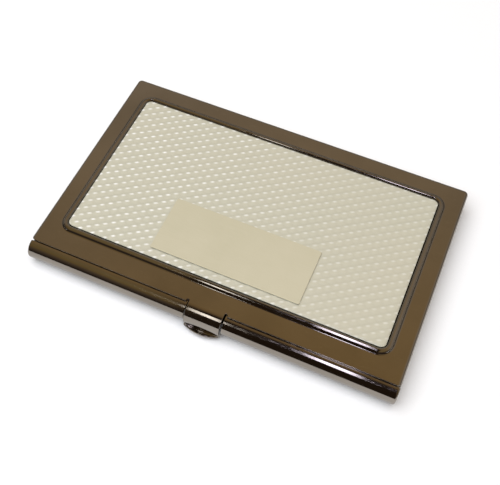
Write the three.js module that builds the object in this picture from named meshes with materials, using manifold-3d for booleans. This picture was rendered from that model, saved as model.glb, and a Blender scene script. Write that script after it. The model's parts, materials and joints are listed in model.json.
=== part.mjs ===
// A slim metal case for business cards: a sheet-metal tray with a rolled front edge, a hinged
// sheet-metal lid with a raised frame, and a decorated plate set in that frame.
// Millimetres. +X along the long edge, -Y the opening edge, +Z up, z = 0 the table.
import * as THREE from 'three';
import { mergeVertices } from 'three/addons/utils/BufferGeometryUtils.js';
import Module from 'manifold-3d';

const wasm = await Module();
wasm.setup();

// ---- driving dimensions ----------------------------------------------------------------------
const SHEET = 0.5; // thickness of the lid and tray metal
const CASE_WIDTH = 93;
const LID_DEPTH = 56; // lid, front edge to rear face
const LID_TOP = 6.4; // upper face of the lid's flat border
const LID_EDGE = 0.9; // rounding between the lid's top and its skirts
const LID_CORNER = 1.2;
const SKIRT_BOTTOM = 0.8;
const TRAY_EDGE = 0.8; // rounding between the tray's floor and its walls
const TRAY_CORNER = 1.5;
const ROLL_RADIUS = 2.9; // half-round front edge of the tray
const ROLL_END_EDGE = 0.5; // rounding of the roll's closed ends
const FLANGE_DEPTH = 1.8; // turned-in edge at the top of the roll
const LIP_REACH = 4.5; // tip of the thumb lip, in front of the roll's centre line
const FREE_GAP = 0.3; // between pieces that move past each other
const REST_GAP = 0.1; // lid lying on the tray
const BOND_GAP = 0.02; // between pieces fixed face to face
const OVERLAP = 0.2; // how far solids reach into each other before they are joined
const BEYOND = 1; // how far cutting blocks reach past what they cut

// hinge
const PIN_RADIUS = 0.6;
const BORE_RADIUS = 0.68;
const KNUCKLE_RADIUS = 1.2;
const KNUCKLE_PITCH = 8;
const KNUCKLE_COUNT = 7; // even ones belong to the tray, odd ones to the lid
const HINGE_Z = 2.9;
const LEAF_BOTTOM = 0.9;
const LEAF_TOP = 5.5;
const CAM_FLAT_DEPTH = 0.15; // flats on the middle knuckle that the snap spring bears on
const CAM_OPEN_ANGLE = 120; // degrees from the closed flat to the open flat
const BARREL_OVERHANG = 1.38; // rear of the hinge barrel, behind the lid's rear face

// snap spring and its rivets, inside the tray's rear wall
const SPRING_THICKNESS = 0.3;
const SPRING_HEIGHT = 2;
const SPRING_HALF = 12.5;
const SPRING_SLOPE = 25;
const SPRING_BEND = 0.4;
const CROWN_HALF = 0.8;
const WINDOW_HALF = 4.4; // opening in the wall that the spring's crown reaches through
const WINDOW_HEIGHT = 3;
const RIVET_X = 10;
const RIVET_RADIUS = 0.6;
const RIVET_CLEARANCE = 0.1;
const RIVET_HEAD_RADIUS = 1;
const RIVET_HEAD = 0.4;

// frame bead and inlay on the lid
const PLATE_WIDTH = 80.7;
const PLATE_DEPTH = 42.7;
const PLATE_SHIFT = 0.2; // plate and frame sit this far behind the lid's middle
const PLATE_CORNER = 1.5;
const PLATE_THICKNESS = 0.48;
const ADHESIVE = 0.08;
const PLATE_FILM_MARGIN = 0.5; // the film stops this far inside the plate's edge
const BEAD_GAP = 0.12;
const BEAD_WIDTH = 1.9;
const BEAD_HEIGHT = 0.75;
const BEAD_CROWN = 0.97; // rounded share of the bead's half width
const LABEL_WIDTH = 38;
const LABEL_DEPTH = 15.1;
const LABEL_CORNER = 0.4;
const LABEL_THICKNESS = 0.14;
const LABEL_FRONT_MARGIN = 2.15; // from the plate's front edge
const LABEL_FILM_MARGIN = 0.3;

// thumb tab
const TAB_WIDTH = 8.9;
const TAB_SLOT = 0.7; // relief cut in the lid beside the tab
const SLOT_DEPTH = 0.6;
const TAB_TUCK = 15; // degrees the tab goes on round the roll's axis past upright
const LIP_ROOT_RADIUS = 0.7;
const LIP_RUN = 0.25;
const LIP_CURL = 25;
const LIP_CURL_RADIUS = 2;
const LIP_CORNER_REACH = 3.55; // the lip's corners, in front of the roll's centre line

// ---- places worked out from them -------------------------------------------------------------
const HALF = CASE_WIDTH / 2;
const LID_UNDER = LID_TOP - SHEET;
const TOTAL_DEPTH = LIP_REACH + LID_DEPTH + BARREL_OVERHANG;
const ROLL_Y = -TOTAL_DEPTH / 2 + LIP_REACH; // roll's centre line, and the lid's front edge
const LID_REAR = ROLL_Y + LID_DEPTH;
const HINGE_Y = LID_REAR + BARREL_OVERHANG - KNUCKLE_RADIUS;
const WALL_REAR = HINGE_Y - KNUCKLE_RADIUS - FREE_GAP; // outer face of the tray's rear wall
const TRAY_HALF = HALF - SHEET - FREE_GAP; // the tray's side walls stand inside the lid's
const WALL_TOP = LID_UNDER - 2 * REST_GAP;
const CUTOUT_HALF = TAB_WIDTH / 2 + FREE_GAP;
const LEAF_HALF = (KNUCKLE_COUNT * KNUCKLE_PITCH - FREE_GAP) / 2;
const PLATE_BOTTOM = LID_TOP + BOND_GAP + ADHESIVE + BOND_GAP;
const PLATE_TOP = PLATE_BOTTOM + PLATE_THICKNESS;
const PLATE_Y = ROLL_Y + LID_DEPTH / 2 + PLATE_SHIFT;
const LABEL_Y = PLATE_Y - PLATE_DEPTH / 2 + LABEL_FRONT_MARGIN + LABEL_DEPTH / 2;

// ---- from three.js geometry to solids and back -----------------------------------------------
function toSolid(geometry) {
  const bare = geometry.clone();
  bare.deleteAttribute('normal');
  bare.deleteAttribute('uv');
  const merged = mergeVertices(bare, 1e-4);
  return new wasm.Manifold(
    new wasm.Mesh({
      numProp: 3,
      vertProperties: Float32Array.from(merged.attributes.position.array),
      triVerts: Uint32Array.from(merged.index.array),
    })
  );
}

function toGeometry(solid) {
  const mesh = solid.getMesh();
  const geometry = new THREE.BufferGeometry();
  geometry.setAttribute('position', new THREE.BufferAttribute(mesh.vertProperties, 3));
  geometry.setIndex(new THREE.BufferAttribute(mesh.triVerts, 1));
  geometry.computeVertexNormals();
  return geometry;
}

function block(x, y, z) {
  const geometry = new THREE.BoxGeometry(x[1] - x[0], y[1] - y[0], z[1] - z[0]);
  geometry.translate((x[0] + x[1]) / 2, (y[0] + y[1]) / 2, (z[0] + z[1]) / 2);
  return toSolid(geometry);
}

// a rod along X, or along Y when asked
function rod(radius, from, to, centre, axis = 'x', sides = 24) {
  const geometry = new THREE.CylinderGeometry(radius, radius, to - from, sides);
  if (axis === 'x') {
    geometry.rotateZ(-Math.PI / 2);
    geometry.translate((from + to) / 2, centre[0], centre[1]);
  } else {
    geometry.translate(centre[0], (from + to) / 2, centre[1]);
  }
  return toSolid(geometry);
}

function roundedRectangle(x, y, radius) {
  const shape = new THREE.Shape();
  const corners = [
    [x[1] - radius, y[0] + radius, -90],
    [x[1] - radius, y[1] - radius, 0],
    [x[0] + radius, y[1] - radius, 90],
    [x[0] + radius, y[0] + radius, 180],
  ];
  for (const [cx, cy, start] of corners) {
    const a = THREE.MathUtils.degToRad(start);
    shape.absarc(cx, cy, radius, a, a + Math.PI / 2, false);
  }
  return shape;
}

// an upright extrusion whose top or bottom edge is rounded to edgeRadius
function slab(shape, z, edgeRadius = 0, roundedEnd = 'top', curveSegments = 5) {
  if (edgeRadius === 0) {
    const flat = new THREE.ExtrudeGeometry(shape, {
      depth: z[1] - z[0],
      bevelEnabled: false,
      curveSegments,
    });
    flat.translate(0, 0, z[0]);
    return toSolid(flat);
  }
  const rounded = new THREE.ExtrudeGeometry(shape, {
    depth: z[1] - z[0],
    bevelThickness: edgeRadius,
    bevelSize: edgeRadius,
    bevelOffset: -edgeRadius,
    bevelSegments: 3,
    curveSegments,
  });
  rounded.translate(0, 0, roundedEnd === 'top' ? z[0] - edgeRadius : z[0] + edgeRadius);
  const span = 2 * CASE_WIDTH;
  return toSolid(rounded).intersect(block([-span, span], [-span, span], z));
}

// a profile drawn in the YZ plane, extruded along X
function alongX(profile, x, edgeRadius = 0, curveSegments = 7) {
  const geometry = new THREE.ExtrudeGeometry(profile, {
    depth: x[1] - x[0] - 2 * edgeRadius,
    bevelEnabled: edgeRadius > 0,
    bevelThickness: edgeRadius,
    bevelSize: edgeRadius,
    bevelOffset: -edgeRadius,
    bevelSegments: 2,
    curveSegments,
  });
  const turn = new THREE.Matrix4().makeBasis(
    new THREE.Vector3(0, 1, 0),
    new THREE.Vector3(0, 0, 1),
    new THREE.Vector3(1, 0, 0)
  );
  geometry.applyMatrix4(turn);
  geometry.translate(x[0] + edgeRadius, 0, 0);
  return toSolid(geometry);
}

// a bent strip: steps along its centre line are runs, or bends given in degrees with a radius;
// positive bends turn clockwise. Returned as the closed outline of the strip.
function bentStrip(start, headingDegrees, steps, thickness) {
  const left = [];
  const right = [];
  const point = new THREE.Vector2(...start);
  let heading = THREE.MathUtils.degToRad(headingDegrees);
  const mark = () => {
    const side = new THREE.Vector2(-Math.sin(heading), Math.cos(heading));
    left.push(point.clone().addScaledVector(side, thickness / 2));
    right.unshift(point.clone().addScaledVector(side, -thickness / 2));
  };
  const advance = (length) => {
    point.x += length * Math.cos(heading);
    point.y += length * Math.sin(heading);
  };
  mark();
  for (const step of steps) {
    if (step.run) {
      advance(step.run);
      mark();
      continue;
    }
    const count = Math.ceil(Math.abs(step.bend) / 15);
    const turn = THREE.MathUtils.degToRad(step.bend) / count;
    const chord = 2 * step.radius * Math.sin(Math.abs(turn) / 2);
    for (let i = 0; i < count; i += 1) {
      heading -= turn / 2;
      advance(chord);
      heading -= turn / 2;
      mark();
    }
  }
  return new THREE.Shape([...left, ...right]);
}

function halfDisc(radius, centre) {
  const shape = new THREE.Shape();
  shape.absarc(centre[0], centre[1], radius, Math.PI / 2, 1.5 * Math.PI, false);
  return shape;
}

// ---- tray ------------------------------------------------------------------------------------
// Drawn tray: floor, side walls and rear wall, with the front edge rolled up and over into a
// half-round that runs to the full width of the lid and is cut out in the middle for the tab.
function baseTray() {
  const centre = [ROLL_Y, ROLL_RADIUS];
  const rollTop = 2 * ROLL_RADIUS;
  const frontWaste = ROLL_Y - CASE_WIDTH / 4;
  const pan = slab(
    roundedRectangle([-TRAY_HALF, TRAY_HALF], [frontWaste, WALL_REAR], TRAY_CORNER),
    [0, WALL_TOP],
    TRAY_EDGE,
    'bottom'
  ).intersect(block([-HALF, HALF], [ROLL_Y - OVERLAP, WALL_REAR + BEYOND], [0, WALL_TOP]));
  const inside = TRAY_HALF - SHEET;
  const cavity = slab(
    roundedRectangle([-inside, inside], [frontWaste, WALL_REAR - SHEET], TRAY_CORNER - SHEET),
    [SHEET, LID_TOP],
    TRAY_EDGE - SHEET,
    'bottom'
  ).intersect(block([-HALF, HALF], [ROLL_Y, WALL_REAR], [0, LID_TOP]));
  const roll = alongX(halfDisc(ROLL_RADIUS, centre), [-HALF, HALF], ROLL_END_EDGE);
  const hollow = alongX(halfDisc(ROLL_RADIUS - SHEET, centre), [-inside, inside]);
  const hollowMouth = block(
    [-inside, inside],
    [ROLL_Y - OVERLAP, ROLL_Y + OVERLAP],
    [SHEET, rollTop - SHEET]
  );
  const flange = block(
    [-TRAY_HALF, TRAY_HALF],
    [ROLL_Y - OVERLAP, ROLL_Y + FLANGE_DEPTH],
    [rollTop - SHEET, rollTop]
  );
  const cutout = block(
    [-CUTOUT_HALF, CUTOUT_HALF],
    [ROLL_Y - ROLL_RADIUS - BEYOND, ROLL_Y + SHEET],
    [-BEYOND, LID_TOP]
  );
  const flangeCutout = block(
    [-CUTOUT_HALF, CUTOUT_HALF],
    [ROLL_Y - BEYOND, ROLL_Y + FLANGE_DEPTH + BEYOND],
    [ROLL_RADIUS, LID_TOP]
  );
  let tray = pan.subtract(cavity).add(roll).subtract(hollow).subtract(hollowMouth);
  tray = tray.add(flange).subtract(cutout).subtract(flangeCutout).subtract(springWindow());
  for (const side of [-1, 1]) {
    const hole = rivetShank(
      side,
      RIVET_RADIUS + RIVET_CLEARANCE,
      WALL_REAR - BEYOND,
      WALL_REAR + BEYOND
    );
    tray = tray.subtract(hole);
  }
  return tray;
}

// ---- snap spring, riveted inside the rear wall -----------------------------------------------
function springWindow() {
  return block(
    [-WINDOW_HALF, WINDOW_HALF],
    [WALL_REAR - BEYOND, WALL_REAR + BEYOND],
    [HINGE_Z - WINDOW_HEIGHT / 2, HINGE_Z + WINDOW_HEIGHT / 2]
  );
}

function rivetShank(side, radius, from, to) {
  return rod(radius, from, to, [side * RIVET_X, HINGE_Z], 'y', 16);
}

// flat along the wall, with a crown in the middle that reaches out through the wall's window
function snapSpring() {
  const flat = WALL_REAR - SHEET - BOND_GAP - SPRING_THICKNESS / 2;
  const crown = WALL_REAR + FREE_GAP - REST_GAP - SPRING_THICKNESS / 2;
  const angle = THREE.MathUtils.degToRad(SPRING_SLOPE);
  const bendRise = 2 * SPRING_BEND * (1 - Math.cos(angle));
  const ramp = (crown - flat - bendRise) / Math.sin(angle);
  const rampSpan = ramp * Math.cos(angle) + 2 * SPRING_BEND * Math.sin(angle);
  const run = SPRING_HALF - CROWN_HALF - rampSpan;
  const outline = bentStrip(
    [-SPRING_HALF, flat],
    0,
    [
      { run },
      { bend: -SPRING_SLOPE, radius: SPRING_BEND },
      { run: ramp },
      { bend: SPRING_SLOPE, radius: SPRING_BEND },
      { run: 2 * CROWN_HALF },
      { bend: SPRING_SLOPE, radius: SPRING_BEND },
      { run: ramp },
      { bend: -SPRING_SLOPE, radius: SPRING_BEND },
      { run },
    ],
    SPRING_THICKNESS
  );
  let spring = slab(outline, [HINGE_Z - SPRING_HEIGHT / 2, HINGE_Z + SPRING_HEIGHT / 2]);
  for (const side of [-1, 1]) {
    spring = spring.subtract(
      rivetShank(side, RIVET_RADIUS + RIVET_CLEARANCE, flat - BEYOND, WALL_REAR)
    );
  }
  return spring;
}

// headed inside the case, and peened flush with the wall's outer face
function snapRivet(side) {
  const headBase = WALL_REAR - SHEET - BOND_GAP - SPRING_THICKNESS - BOND_GAP;
  const shank = rivetShank(side, RIVET_RADIUS, headBase - OVERLAP, WALL_REAR);
  return shank.add(rivetShank(side, RIVET_HEAD_RADIUS, headBase - RIVET_HEAD, headBase));
}

// ---- hinge -----------------------------------------------------------------------------------
function knuckleSpan(index) {
  const middle = (index - (KNUCKLE_COUNT - 1) / 2) * KNUCKLE_PITCH;
  const half = KNUCKLE_PITCH / 2 - FREE_GAP / 2;
  return [middle - half, middle + half];
}

function hingeLeaf(parity, y, strip, reach) {
  let leaf = block([-LEAF_HALF, LEAF_HALF], y, strip);
  for (let i = parity; i < KNUCKLE_COUNT; i += 2) {
    const x = knuckleSpan(i);
    leaf = leaf.add(block(x, y, reach));
    leaf = leaf.add(rod(KNUCKLE_RADIUS, x[0], x[1], [HINGE_Y, HINGE_Z]));
  }
  return leaf.subtract(rod(BORE_RADIUS, -HALF, HALF, [HINGE_Y, HINGE_Z]));
}

function baseHingeLeaf() {
  const front = WALL_REAR + BOND_GAP;
  const top = HINGE_Z - KNUCKLE_RADIUS - FREE_GAP;
  return hingeLeaf(0, [front, front + SHEET], [LEAF_BOTTOM, top], [LEAF_BOTTOM, HINGE_Z]);
}

// the middle knuckle has two flats, one under the spring when closed and one when open
function lidHingeLeaf() {
  const front = HINGE_Y - KNUCKLE_RADIUS;
  const bottom = HINGE_Z + KNUCKLE_RADIUS + FREE_GAP;
  const leaf = hingeLeaf(1, [front, front + SHEET - BOND_GAP], [bottom, LEAF_TOP], [HINGE_Z, LEAF_TOP]);
  const closedFlat = camFlat(0);
  const openFlat = camFlat(CAM_OPEN_ANGLE);
  return leaf.subtract(closedFlat).subtract(openFlat);
}

function camFlat(degrees) {
  const inner = KNUCKLE_RADIUS - CAM_FLAT_DEPTH;
  const cut = [KNUCKLE_PITCH, 2 * BEYOND, SPRING_HEIGHT + 2 * REST_GAP];
  const geometry = new THREE.BoxGeometry(...cut);
  geometry.translate(0, -inner - BEYOND, 0);
  geometry.rotateX(THREE.MathUtils.degToRad(degrees));
  geometry.translate(0, HINGE_Y, HINGE_Z);
  return toSolid(geometry);
}

function hingePin() {
  return rod(PIN_RADIUS, -LEAF_HALF, LEAF_HALF, [HINGE_Y, HINGE_Z]);
}

// ---- lid -------------------------------------------------------------------------------------
// A shallow pan with skirts left, right and rear, a plain front edge, the raised frame bead
// and the thumb tab, which bends down over the roll and out into a half-round lip.
function lidShell() {
  const frontWaste = ROLL_Y - CASE_WIDTH / 4;
  const pan = slab(
    roundedRectangle([-HALF, HALF], [frontWaste, LID_REAR], LID_CORNER),
    [SKIRT_BOTTOM, LID_TOP],
    LID_EDGE,
    'top'
  );
  const inside = HALF - SHEET;
  const cavity = slab(
    roundedRectangle(
      [-inside, inside],
      [frontWaste - BEYOND, LID_REAR - SHEET],
      LID_CORNER - SHEET
    ),
    [SKIRT_BOTTOM - BEYOND, LID_UNDER],
    LID_EDGE - SHEET,
    'top'
  );
  const wide = [-HALF - BEYOND, HALF + BEYOND];
  const front = block(wide, [frontWaste - BEYOND, ROLL_Y], [-BEYOND, LID_TOP + BEYOND]);
  const barrelRoom = block(
    wide,
    [LID_REAR - LID_CORNER - REST_GAP, LID_REAR + BEYOND],
    [-BEYOND, HINGE_Z + KNUCKLE_RADIUS + FREE_GAP]
  );
  let lid = pan.subtract(cavity).subtract(front).subtract(barrelRoom);
  for (const side of [-1, 1]) {
    lid = lid.subtract(cornerWaste(side)).subtract(tabSlot(side));
  }
  return lid.add(frameBead()).add(thumbTab());
}

// what is filed off a front corner of the lid to round it
function cornerWaste(side) {
  const x = [side * (HALF - LID_CORNER), side * (HALF + BEYOND)].sort((a, b) => a - b);
  const z = [-BEYOND, LID_TOP + BEYOND];
  const post = new THREE.CylinderGeometry(LID_CORNER, LID_CORNER, 2 * LID_TOP + 2 * BEYOND, 24);
  post.rotateX(Math.PI / 2);
  post.translate(side * (HALF - LID_CORNER), ROLL_Y + LID_CORNER, LID_TOP / 2);
  return block(x, [ROLL_Y - BEYOND, ROLL_Y + LID_CORNER], z).subtract(toSolid(post));
}

// the relief cut beside the tab
function tabSlot(side) {
  const x = [(side * TAB_WIDTH) / 2, side * (TAB_WIDTH / 2 + TAB_SLOT)].sort((a, b) => a - b);
  return block(x, [ROLL_Y - BEYOND, ROLL_Y + SLOT_DEPTH], [0, LID_TOP + BEYOND]);
}

function frameBead() {
  const around = (margin) =>
    roundedRectangle(
      [-PLATE_WIDTH / 2 - margin, PLATE_WIDTH / 2 + margin],
      [PLATE_Y - PLATE_DEPTH / 2 - margin, PLATE_Y + PLATE_DEPTH / 2 + margin],
      PLATE_CORNER + margin
    );
  const curveSegments = 5;
  const ring = around(BEAD_GAP + BEAD_WIDTH);
  ring.holes.push(new THREE.Path(around(BEAD_GAP).getPoints(curveSegments)));
  const rounding = (BEAD_CROWN * BEAD_WIDTH) / 2;
  const depth = 1;
  const geometry = new THREE.ExtrudeGeometry(ring, {
    depth,
    bevelThickness: BEAD_HEIGHT,
    bevelSize: rounding,
    bevelOffset: -rounding,
    bevelSegments: 3,
    curveSegments,
  });
  geometry.translate(0, 0, LID_TOP - depth);
  const rise = [LID_TOP - SHEET / 2, LID_TOP + BEAD_HEIGHT];
  return toSolid(geometry).intersect(block([-HALF, HALF], [ROLL_Y, LID_REAR], rise));
}

// from the lid's edge round the roll's axis, past upright, then out into the lip
function thumbTab() {
  const middle = LID_TOP - SHEET / 2;
  const profile = bentStrip(
    [ROLL_Y + SLOT_DEPTH + OVERLAP, middle],
    180,
    [
      { run: SLOT_DEPTH + OVERLAP },
      { bend: -90 - TAB_TUCK, radius: middle - ROLL_RADIUS },
      { bend: 90 + TAB_TUCK, radius: LIP_ROOT_RADIUS },
      { run: LIP_RUN },
      { bend: LIP_CURL, radius: LIP_CURL_RADIUS },
    ],
    SHEET
  );
  const half = TAB_WIDTH / 2;
  const strip = alongX(profile, [-half - BEYOND, half + BEYOND]);
  const bulge = LIP_REACH - LIP_CORNER_REACH;
  const arcRadius = (half * half + bulge * bulge) / (2 * bulge);
  const centreY = ROLL_Y - LIP_REACH + arcRadius;
  const spread = Math.asin(half / arcRadius);
  const front = 1.5 * Math.PI;
  const rear = ROLL_Y + SLOT_DEPTH + BEYOND;
  const plan = new THREE.Shape();
  plan.moveTo(half, rear);
  plan.lineTo(-half, rear);
  plan.absarc(0, centreY, arcRadius, front - spread, front + spread, false);
  plan.closePath();
  return strip.intersect(slab(plan, [-BEYOND, LID_TOP + BEYOND], 0, 'top', 12));
}

// ---- plate and label on the lid --------------------------------------------------------------
function plateOutline(margin) {
  return roundedRectangle(
    [-PLATE_WIDTH / 2 - margin, PLATE_WIDTH / 2 + margin],
    [PLATE_Y - PLATE_DEPTH / 2 - margin, PLATE_Y + PLATE_DEPTH / 2 + margin],
    PLATE_CORNER
  );
}

function inlayAdhesive() {
  const bottom = LID_TOP + BOND_GAP;
  return slab(plateOutline(-PLATE_FILM_MARGIN), [bottom, bottom + ADHESIVE]);
}

function inlayPlate() {
  return slab(plateOutline(0), [PLATE_BOTTOM, PLATE_TOP]);
}

function labelOutline(margin) {
  const x = LABEL_WIDTH / 2 + margin;
  const y = LABEL_DEPTH / 2 + margin;
  return roundedRectangle([-x, x], [LABEL_Y - y, LABEL_Y + y], LABEL_CORNER);
}

function labelAdhesive() {
  const bottom = PLATE_TOP + BOND_GAP;
  return slab(labelOutline(-LABEL_FILM_MARGIN), [bottom, bottom + ADHESIVE]);
}

function labelPlate() {
  const bottom = PLATE_TOP + BOND_GAP + ADHESIVE + BOND_GAP;
  return slab(labelOutline(0), [bottom, bottom + LABEL_THICKNESS]);
}

// ---- materials and assembly ------------------------------------------------------------------
const gunmetal = { color: 0x6b5c4b, roughness: 0.12, metalness: 1 };
const steel = { color: 0xb9b6b0, roughness: 0.3, metalness: 1 };
const champagne = { color: 0xccc6b2, roughness: 0.35, metalness: 0.9 };
const satin = { color: 0xb5aa82, roughness: 0.5, metalness: 0.8 };
const film = { color: 0xe6e2d6, roughness: 0.8, metalness: 0 };

function piece(name, solid, finish) {
  const mesh = new THREE.Mesh(toGeometry(solid), new THREE.MeshStandardMaterial(finish));
  mesh.name = name;
  return mesh;
}

const base = new THREE.Group();
base.add(
  piece('base_tray', baseTray(), gunmetal),
  piece('base_hinge_leaf', baseHingeLeaf(), gunmetal),
  piece('hinge_pin', hingePin(), steel),
  piece('snap_spring', snapSpring(), steel),
  piece('snap_rivet_left', snapRivet(-1), steel),
  piece('snap_rivet_right', snapRivet(1), steel)
);

const lid = new THREE.Group();
lid.add(
  piece('lid_shell', lidShell(), gunmetal),
  piece('lid_hinge_leaf', lidHingeLeaf(), gunmetal),
  piece('inlay_adhesive', inlayAdhesive(), film),
  piece('inlay_plate', inlayPlate(), champagne),
  piece('nameplate_adhesive', labelAdhesive(), film),
  piece('nameplate', labelPlate(), satin)
);

const cardCase = new THREE.Group();
cardCase.add(base, lid);

export default cardCase;
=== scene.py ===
"""Looks of the business card case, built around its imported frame. Mesh code works in millimetres
in the frame's axes, and meshes are made in metres.

The lid, tray, hinge leaves, pin, spring, rivets, inlay plate and label get finer meshes with rounded
sheet edges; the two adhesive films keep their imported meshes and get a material.
"""
import json
import math

import bmesh
import bpy
from mathutils import Matrix, Vector


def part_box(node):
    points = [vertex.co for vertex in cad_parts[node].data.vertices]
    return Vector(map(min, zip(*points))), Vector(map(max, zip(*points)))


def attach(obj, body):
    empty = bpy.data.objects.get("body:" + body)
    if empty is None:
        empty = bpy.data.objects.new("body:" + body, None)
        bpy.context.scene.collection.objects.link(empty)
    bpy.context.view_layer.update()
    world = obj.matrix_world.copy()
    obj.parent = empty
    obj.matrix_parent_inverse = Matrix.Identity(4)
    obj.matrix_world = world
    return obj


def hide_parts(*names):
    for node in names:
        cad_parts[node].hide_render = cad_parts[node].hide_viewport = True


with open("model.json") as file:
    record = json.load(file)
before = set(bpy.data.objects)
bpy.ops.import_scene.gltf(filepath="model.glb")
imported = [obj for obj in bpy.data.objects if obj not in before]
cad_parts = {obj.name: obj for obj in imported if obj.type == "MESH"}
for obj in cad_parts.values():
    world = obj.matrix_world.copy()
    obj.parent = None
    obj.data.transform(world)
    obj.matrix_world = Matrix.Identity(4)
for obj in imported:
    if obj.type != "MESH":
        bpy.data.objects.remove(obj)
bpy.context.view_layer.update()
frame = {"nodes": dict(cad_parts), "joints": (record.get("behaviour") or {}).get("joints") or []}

MM = 0.001

# ---- sizes in millimetres ---------------------------------------------------------------------


def node_box(name):
    low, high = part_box(name)
    return low / MM, high / MM


LID_LOW, LID_HIGH = node_box("lid_shell")
TRAY_LOW, TRAY_HIGH = node_box("base_tray")
PLATE_LOW, PLATE_HIGH = node_box("inlay_plate")
LABEL_LOW, LABEL_HIGH = node_box("nameplate")
BASE_LEAF_LOW, BASE_LEAF_HIGH = node_box("base_hinge_leaf")
_, LID_LEAF_HIGH = node_box("lid_hinge_leaf")
PIN_LOW, PIN_HIGH = node_box("hinge_pin")
SPRING_LOW, SPRING_HIGH = node_box("snap_spring")
RIVET_LOW, RIVET_HIGH = node_box("snap_rivet_right")

SHEET = 0.5
FREE_GAP = 0.3  # between pieces that move past each other

# lid
BEAD_HEIGHT = 0.75
BEAD_WIDTH = 1.9
BEAD_GAP = 0.12  # from the plate to the bead
BEAD_CREST = 0.34  # share of the bead's width from its inner foot to its highest line
HALF = LID_HIGH.x
LID_TOP = LID_HIGH.z - BEAD_HEIGHT
LID_REAR = LID_HIGH.y
LID_EDGE = 0.9  # rounding between the lid's top and its skirts
LID_CORNER = 1.2
SKIRT_BOTTOM = 0.8
REAR_SKIRT_BOTTOM = LID_LEAF_HIGH.z - 1.1

# tray
ROLL_RADIUS = TRAY_HIGH.z / 2
ROLL_Y = TRAY_LOW.y + ROLL_RADIUS  # centre line of the rolled front edge, under the lid's front edge
ROLL_END_EDGE = 0.5
TRAY_HALF = HALF - SHEET - FREE_GAP
TRAY_EDGE = 0.8  # rounding between the floor and the walls
TRAY_CORNER = 1.5
WALL_REAR = BASE_LEAF_LOW.y
WALL_TOP = TRAY_HIGH.z
FLANGE_DEPTH = 1.8

# thumb tab, the relief slots beside it, and its lip
TAB_HALF = 4.45
TAB_SLOT = 0.7
SLOT_DEPTH = 0.6
SLOT_ROUND = 0.3
TAB_TUCK = 15  # degrees the tab goes on round the roll's axis past upright
LIP_ROOT_RADIUS = 0.7
LIP_RUN = 0.25
LIP_CURL = 25  # degrees
LIP_CURL_RADIUS = 2
LIP_CORNER_REACH = 3.55  # the lip's corners, in front of the roll's centre line
LIP_DISH = 0.28
CUTOUT_HALF = TAB_HALF + FREE_GAP

# hinge
HINGE_Y, HINGE_Z = (v / MM for v in frame["joints"][0]["pos_m"][1:])
KNUCKLE_RADIUS = BASE_LEAF_HIGH.y - HINGE_Y
BORE_RADIUS = 0.68
BARREL_RADIUS = (KNUCKLE_RADIUS + BORE_RADIUS) / 2  # middle of the curled sheet
KNUCKLE_COUNT = 7
KNUCKLE_PITCH = 8
KNUCKLE_CURL = 300  # degrees
CAM_FLAT_DEPTH = 0.15
CAM_FLAT_HALF = 1.1
LEAF_SHEET = 0.48
LEAF_JOG_RADIUS = 0.6
PIN_END_EDGE = 0.25

# snap spring, its rivets, and the window it reaches through
SPRING_THICKNESS = 0.3
SPRING_SLOPE = 25
SPRING_BEND = 0.4
CROWN_HALF = 0.8
WINDOW_HALF = 4.4
WINDOW_HEIGHT = 3
RIVET_SHANK = 0.6
RIVET_HEAD = 0.4
RIVET_EDGE = 0.08

# inlay plate and label
PLATE_CORNER = 1.5
PLATE_RIM = 0.12  # plain edge round the embossing
EMBOSS_FADE = 0.35  # over which the embossing dies out towards the rim
EMBOSS_DEPTH = 0.13
LATTICE_X = 3.35  # period of the embossed lattice
LATTICE_Y = 2.28
LABEL_CORNER = 0.4
LABEL_EDGE = 0.05

# rounding of cut sheet edges
LID_BEVEL = 0.12
TRAY_BEVEL = 0.09
SMALL_BEVEL = 0.05
SHARP = math.radians(38)  # only edges that turn more than this are rounded
FLAT_MARGIN = 0.1  # flat strip kept beside a rounding

# fineness
CORNER_STEPS = 8
TAB_COLUMNS = 16
LIP_ROWS = 22
PLATE_COLUMNS = 312
PLATE_ROWS = 209

# ---- mesh helpers -------------------------------------------------------------------------------


def make(name, points, faces):
    """A mesh object from points in millimetres."""
    mesh = bpy.data.meshes.new(name)
    mesh.from_pydata([Vector(p) * MM for p in points], [], faces)
    bm = bmesh.new()
    bm.from_mesh(mesh)
    bmesh.ops.remove_doubles(bm, verts=bm.verts, dist=1e-7)
    if all(e.is_manifold for e in bm.edges):
        bmesh.ops.recalc_face_normals(bm, faces=bm.faces)
    bm.to_mesh(mesh)
    bm.free()
    obj = bpy.data.objects.new(name, mesh)
    bpy.context.scene.collection.objects.link(obj)
    return obj


def strips(loops):
    """Four-sided faces between neighbouring open loops of equal length."""
    return [
        [a[i], a[i + 1], b[i + 1], b[i]] for a, b in zip(loops, loops[1:]) for i in range(len(a) - 1)
    ]


class Surface:
    """Points and faces of an open surface, added row by row."""

    def __init__(self):
        self.points = []
        self.faces = []

    def add(self, new):
        """Adds a row of points and gives their numbers."""
        first = len(self.points)
        self.points.extend(new)
        return list(range(first, first + len(new)))

    def bridge(self, a, b, closed=True):
        """Four-sided faces between two rows of equal length."""
        count = len(a)
        for i in range(count if closed else count - 1):
            j = (i + 1) % count
            self.faces.append((a[i], b[i], b[j], a[j]))


def skin(name, polygons, outward):
    """A sheet-metal solid from the polygons of its outer face."""
    surface = Surface()
    for polygon in polygons:
        surface.faces.append(tuple(surface.add(polygon)))
    return thicken(make(name, surface.points, surface.faces), outward)


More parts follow.
